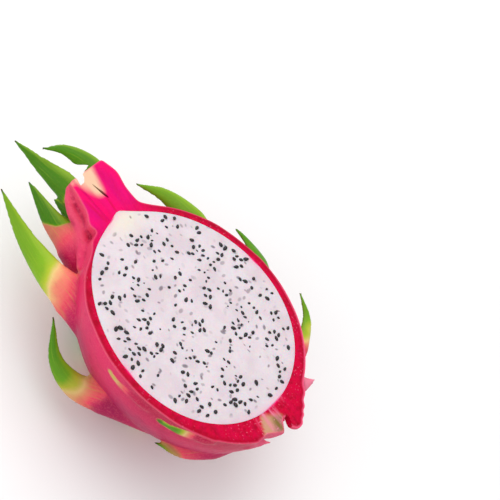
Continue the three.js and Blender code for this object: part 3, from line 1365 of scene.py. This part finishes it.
@dataclass(frozen=True)
class Mouth:
    """The torn notch in the end of the neck, which runs down aslant under the cut face.

    It reaches above the cut face and below it by two lengths along its slant. Past one place
    towards the flower its lining counts as skin, because only bracts are there.
    """

    slant: Place = (-0.15, 0.77, -1.0)
    above: float = 5.0
    below: float = 30.0
    parts: int = 4
    fray: float = 0.35
    fray_size: float = 1.7
    lining_end_x: float = -77.6
    corners: tuple[Spot, ...] = (
        (-78.3, 12.6), (-77.6, 10.3), (-77.1, 8.8), (-76.4, 6.9), (-75.0, 6.4), (-73.3, 4.2),
        (-73.1, 2.2), (-76.6, 2.7), (-80.2, 2.2), (-83.4, 3.4), (-85.2, 5.6), (-81.2, 8.1))
    pale_y: float = 7.0
    pale_half_width: float = 6.0
    pale_start_x: float = -82.0
    pale_length: float = 15.5
    pale_end_x: float = -67.5
    pale_fade: float = 5.5
    lobe: Spot = (-76.2, -0.6)

    def build(self) -> Shape:
        """Makes the notch as a closed shape.

        Returns:
            The shape.
        """
        shape = bmesh.new()
        ring = []
        slant = Vector(self.slant)
        corners = [Vector((x, y, 0)) for x, y in self.corners]
        for start, end in zip(corners, corners[1:] + corners[:1]):
            for part in range(self.parts):
                place = start.lerp(end, part / self.parts)
                spot = place / self.fray_size
                aside = noise.noise(spot + Vector((0, 0, 9)))
                place += Vector((noise.noise(spot), aside, 0)) * self.fray
                ring.append(shape.verts.new(place - slant * self.above))
        made = bmesh.ops.extrude_face_region(shape, geom=[shape.faces.new(ring)])["geom"]
        bmesh.ops.translate(shape, verts=vertices_of(made), vec=slant * (self.above + self.below))
        return Face.LINING.mark(shape)

    def values(self, points: Numbers) -> dict[str, Numbers]:
        """How pale each point is: round the notch as far as the slit, and on the lobe beside.

        Args:
            points: The places of all the points.

        Returns:
            The name's number at each point.
        """
        x, y = points[:, 0], points[:, 1]
        taper = np.clip((x - self.pale_start_x) / self.pale_length, 0, 1) ** 0.8
        half_width = self.pale_half_width - self.pale_half_width * taper
        beyond = np.hypot(np.maximum(np.abs(y - self.pale_y) - half_width, 0),
                          np.maximum(x - self.pale_end_x, 0))
        lobe = np.hypot(x - self.lobe[0], y - self.lobe[1])
        return {"bite": np.maximum(np.clip(1 - beyond / self.pale_fade, 0, 1),
                                   0.6 * (1 - smooth_step(lobe, 0.5, 3.0)))}


@dataclass(frozen=True)
class Lens:
    """A lens-shaped opening in the cut face, turned by some degrees.

    Its width is a share of its radius, and the taper changes it from one end to the other.
    """

    x: float
    y: float
    degrees: float
    radii: Place
    around: int
    rings: int
    width_share: float = 1.0
    taper: float = 0.0

    def build(self) -> Shape:
        """Makes the opening as a closed shape.

        Returns:
            The shape.
        """
        shape = bmesh.new()
        bmesh.ops.create_uvsphere(shape, u_segments=self.around, v_segments=self.rings, radius=1)
        for vert in shape.verts:
            vert.co.y *= self.width_share + self.taper * vert.co.x
        lie = (Matrix.Translation((self.x, self.y, 0))
               @ Matrix.Rotation(math.radians(self.degrees), 4, "Z"))
        bmesh.ops.transform(shape, verts=shape.verts,
                            matrix=lie @ Matrix.Diagonal((*self.radii, 1)))
        return Face.CUT.mark(shape)

    def inside(self, points: Numbers, room: Spot) -> Numbers:
        """How far each point is inside the opening, within some room along x and y."""
        near = np.all(np.abs(points[:, :2] - (self.x, self.y)) < room, 1)
        return np.where(near, smooth_step(-points[:, 2], 0.15, 0.5), 0.0)


@dataclass(frozen=True)
class Rind:
    """The rind as one grown piece: skin, cut face, torn mouth and stump, with all the bracts."""

    body: Body
    flesh: Flesh
    bracts: tuple[Bract, ...]
    stump: Stump = Stump()
    mouth: Mouth = Mouth()
    slit: Lens = Lens(-66.5, 8.1, 11, (4.7, 0.72, 4.0), 16, 8, 0.75, 0.5)
    slit_room: Spot = (5, 1.8)
    pocket: Lens = Lens(59.3, 0.9, -30, (3.6, 1.3, 4.5), 20, 12)
    voxel: float = 0.72
    smoothing: int = 4
    knife_x: float = -20.0
    knife_step: float = 1.1
    knife_size: float = 200.0
    knife_wave: float = 0.12
    knife_wave_size: float = 7.0
    sharp_degrees: float = 50.0
    wander_size: float = 7.0
    fibre_radius: float = 50.0

    def _grown(self) -> Mesh:
        """The body, the stump and the bracts, grown together into one skin.

        Returns:
            The closed skin.
        """
        shape = bmesh.new()
        for part in (self.body, *self.bracts, self.stump):
            part.build(shape)
        self._press_top(shape)
        mesh = to_mesh(shape, "grown", outward=False)
        mesh = with_modifier(mesh, "REMESH", mode="VOXEL", voxel_size=self.voxel)
        shape = bmesh.new()
        shape.from_mesh(mesh)
        bpy.data.meshes.remove(mesh)
        for _ in range(self.smoothing):
            bmesh.ops.smooth_vert(shape, verts=shape.verts, factor=0.5, use_axis_x=True,
                                  use_axis_y=True, use_axis_z=True)
        return to_mesh(shape, "grown")

    @staticmethod
    def _press_top(shape: Shape, room: float = 5.0, left: float = 0.02) -> None:
        """Presses down what stands well above the cut, so that no faces are spent on it.

        Args:
            shape: The grown parts.
            room: The height that stays as it is.
            left: The share that is left of what stands above it.
        """
        for vert in shape.verts:
            if vert.co.z > room:
                vert.co.z = room + (vert.co.z - room) * left

    def _slab(self) -> Mesh:
        """What lies between the surface and the knife, with a fine grid on the cut face.

        Returns:
            The slab.
        """
        shape = bmesh.new()
        cells = int(self.knife_size / self.knife_step)
        bmesh.ops.create_grid(shape, x_segments=cells, y_segments=cells, size=self.knife_size / 2,
                              matrix=Matrix.Translation((self.knife_x, 0, 0)))
        Face.CUT.mark(shape)
        for vert in shape.verts:
            wave = noise.noise(Vector((vert.co.x, vert.co.y, 3)) / self.knife_wave_size)
            vert.co.z = self.knife_wave * wave
        border = [edge for edge in shape.edges if edge.is_boundary]
        made = bmesh.ops.extrude_edge_only(shape, edges=border)["geom"]
        for vert in vertices_of(made):
            vert.co.z = -CUT_HEIGHT
        bottom = [part for part in made
                  if isinstance(part, bmesh.types.BMEdge) and part.is_boundary]
        bmesh.ops.edgeloop_fill(shape, edges=bottom)
        return to_mesh(shape, "slab")

    def _hollows(self) -> Mesh:
        """What is taken out of the rind: the flesh, the torn mouth and a pocket by the stump.

        Returns:
            The hollows as one mesh.
        """
        shape = Face.CUT.mark(self.flesh.hollow())
        merge_into(shape, self.mouth.build())
        merge_into(shape, self.pocket.build())
        return to_mesh(shape, "hollows")

    @staticmethod
    def _from_rim(mesh: Mesh) -> Numbers:
        """Measures from the outer rim, where the skin meets the cut face.

        Args:
            mesh: The carved rind.

        Returns:
            How far each point is from the rim.
        """
        shape = bmesh.new()
        shape.from_mesh(mesh)
        rim = set()
        for edge in shape.edges:
            kinds = {face.material_index for face in edge.link_faces}
            level = min(vert.co.z for vert in edge.verts) > -1
            if level and kinds >= {Face.CUT.value, Face.SKIN.value}:
                rim.update(vert.index for vert in edge.verts)
        shape.verts.ensure_lookup_table()
        tree = kdtree.KDTree(len(rim))
        for index in sorted(rim):
            tree.insert(shape.verts[index].co, index)
        tree.balance()
        shape.free()
        return np.array([tree.find(point)[2] for point in coordinates(mesh)])

    def _leaf_values(self, points: Numbers) -> dict[str, Numbers]:
        """Works out what the skin's material reads about the bracts.

        Where bracts meet, a point has the green of the greener one and the rest of the nearer.

        Args:
            points: The places of all the points.

        Returns:
            Each name's number at each point.
        """
        values = {name: np.zeros(len(points)) for name in
                  ("green", "blade", "tone", "side", "across", "along", "tip", "pale")}
        owner = np.zeros(len(points))
        for bract in self.bracts:
            near, found = bract.measure(points)
            belongs, share = found.pop("belongs"), found.pop("share")
            wander = np.array([noise.noise(Vector(point) / self.wander_size)
                               for point in points[near]])
            moved = share + bract.skew * found["across"] + bract.wander * wander
            green = smooth_step(moved, bract.green_from, bract.green_to)
            warm = bract.warm * smooth_step(share, bract.green_from * 0.4, bract.green_from)
            green = (warm + (1 - warm) * green) * bract.green
            greener = green * belongs > (values["green"] * values["blade"])[near]
            values["green"][near[greener]] = green[greener]
            values["blade"][near[greener]] = belongs[greener]
            found["tone"] = np.full(len(near), bract.tone)
            found["pale"] = bract.pale * smooth_step(share, *bract.pale_span)
            nearer = belongs > owner[near]
            for name, numbers in found.items():
                values[name][near[nearer]] = numbers[nearer]
            owner[near] = np.maximum(owner[near], belongs)
            tip = smooth_step(share, *bract.dark_tip_span) * belongs * bract.dark_tip
            values["tip"][near] = np.maximum(values["tip"][near], tip)
        return values

    def _paint(self, mesh: Mesh) -> None:
        """Works out the numbers that the materials read, and stores them.

        Args:
            mesh: The carved rind.
        """
        points = coordinates(mesh)
        x, y = points[:, 0], points[:, 1]
        angle, gap = self.flesh.from_edge(points)
        depth = bend(mesh)
        store(mesh, {
            **self._leaf_values(points),
            **self.stump.values(points),
            **self.mouth.values(points),
            # Depth inside the slit, for its painted shade.
            "slit": self.slit.inside(points, self.slit_room),
            "rim": self._from_rim(mesh),
            "gap": gap,
            "turn": angle * self.fibre_radius,
            # Mask for painted shade: how deep each point lies in a hollow.
            "crease_shade_and_streaks": smooth_step(depth, 0.03, 0.28),
            # Mask for painted highlight: how far each point stands above its surroundings.
            "ridge": smooth_step(-depth, 0.05, 0.35),
            "neck": smooth_step(-x, 40, 60),
            "far": smooth_step(y, -6, 6) * smooth_step(x, 4, 22),
            # Where the groove along the near rim gets painted shade.
            "groove_shade": smooth_step(x, -8, 14) * smooth_step(-y, 12, 24),
        })

    def build(self) -> None:
        """Makes the rind as a piece."""
        finishes = {Face.SKIN: SkinFinish(), Face.CUT: CutRindFinish(), Face.LINING: LiningFinish()}
        materials = [finishes[face].build() for face in Face]
        mesh = carve(self._grown(), self._slab(), "INTERSECT", materials)
        mesh = carve(mesh, self._hollows(), "DIFFERENCE", materials)
        mesh = carve(mesh, to_mesh(self.slit.build(), "slit"), "DIFFERENCE", materials)
        for face in mesh.polygons:
            if (face.material_index == Face.LINING.value
                    and face.center.x < self.mouth.lining_end_x):
                face.material_index = Face.SKIN.value
        self._paint(mesh)
        add_piece(mesh, "rind_skin", materials, "rind", self.sharp_degrees)


@dataclass(frozen=True)
class Softbox:
    """A square soft light that looks at the fruit from a place in metres away from it."""

    name: str
    away: Place
    size: float
    power: float
    aim_height: float = 0.04

    def build(self) -> None:
        """Makes the light."""
        data = bpy.data.lights.new(self.name, "AREA")
        data.shape = "SQUARE"
        data.size = self.size
        data.energy = self.power
        away = Vector(self.away)
        add_object(self.name, data).matrix_world = (
            Matrix.Translation(away + Vector((0, 0, self.aim_height)))
            @ away.to_track_quat("Z", "Y").to_matrix().to_4x4())


@dataclass(frozen=True)
class Studio:
    """A pale floor, soft studio light and the camera at the photograph's angle."""

    floor_size: float = 4.0
    tilt: float = math.radians(37)
    roll: float = math.radians(48.2)
    distance: float = 620.0
    pixel: float = 0.42
    focal_pixels: float = distance / pixel
    picture: float = 500.0
    centre_pixel: Spot = (193.5, 318.0)
    nearest_shown: float = 0.01
    room_light: float = 0.76
    softboxes: tuple[Softbox, ...] = (
        Softbox("key", (-0.55, 0.3, 1.0), 1.2, 6.8),
        Softbox("front", (-0.3, -1.0, 0.6), 0.9, 2.6),
    )

    def build_floor(self) -> None:
        """Makes the floor."""
        shape = bmesh.new()
        bmesh.ops.create_grid(shape, x_segments=8, y_segments=8, size=self.floor_size / 2)
        floor = add_object("floor", to_mesh(shape, "floor", outward=False))
        floor.data.materials.append(FloorFinish().build())

    def axes(self) -> tuple[Vector, Vector, Vector]:
        """The picture's right, its up and the way back from the cut face to the camera.

        Returns:
            The three directions.
        """
        back = Vector((0, -math.sin(self.tilt), math.cos(self.tilt)))
        level = Vector((1, 0, 0))
        upright = back.cross(level)
        cos, sin = math.cos(self.roll), math.sin(self.roll)
        return level * cos + upright * sin, upright * cos - level * sin, back

    def build_camera(self) -> None:
        """Makes the camera, with the flesh's middle at its place in the picture."""
        right, up, back = self.axes()
        half = self.picture / 2
        ray = Vector(((self.centre_pixel[0] - half) / self.focal_pixels,
                      (half - self.centre_pixel[1]) / self.focal_pixels, -1)).normalized()
        swing = Vector((0, 0, -1)).rotation_difference(ray).to_matrix()
        aligned = Matrix((right, up, back)).transposed()
        turn = (aligned @ swing.transposed()).to_4x4()
        place = Vector((0, 0, CUT_HEIGHT)) + back * self.distance
        data = bpy.data.cameras.new("camera")
        data.sensor_fit = "HORIZONTAL"
        data.angle = 2 * math.atan(half / self.focal_pixels)
        data.clip_start = self.nearest_shown
        camera = add_object("camera", data)
        camera.matrix_world = Matrix.Translation(place * MILLIMETRE) @ turn
        bpy.context.scene.camera = camera

    def build_light(self) -> None:
        """Makes the soft lights and the bright room."""
        for softbox in self.softboxes:
            softbox.build()
        world = bpy.data.worlds.new("bright_room")
        world.use_nodes = True
        background = world.node_tree.nodes["Background"]
        background.inputs["Color"].default_value = (1.0, 1.0, 1.0, 1.0)
        background.inputs["Strength"].default_value = self.room_light
        bpy.context.scene.world = world
        bpy.context.scene.view_settings.view_transform = "Standard"


def main() -> None:
    """Builds the fruit and the studio around it."""
    logging.basicConfig(level=logging.INFO, format="%(name)s: %(message)s")
    studio, body, flesh = Studio(), Body(), Flesh()
    bracts = SHOWN_BRACTS + tuple(hidden.on(body) for hidden in HIDDEN_BRACTS)
    parts = {
        "floor": studio.build_floor,
        "camera": studio.build_camera,
        "light": studio.build_light,
        "rind": Rind(body, flesh, bracts).build,
        "flesh": flesh.build,
        "seeds": Seeds(flesh).build,
    }
    for name, build in parts.items():
        LOG.info("building %s", name)
        build()


if __name__ == "__main__":
    main()
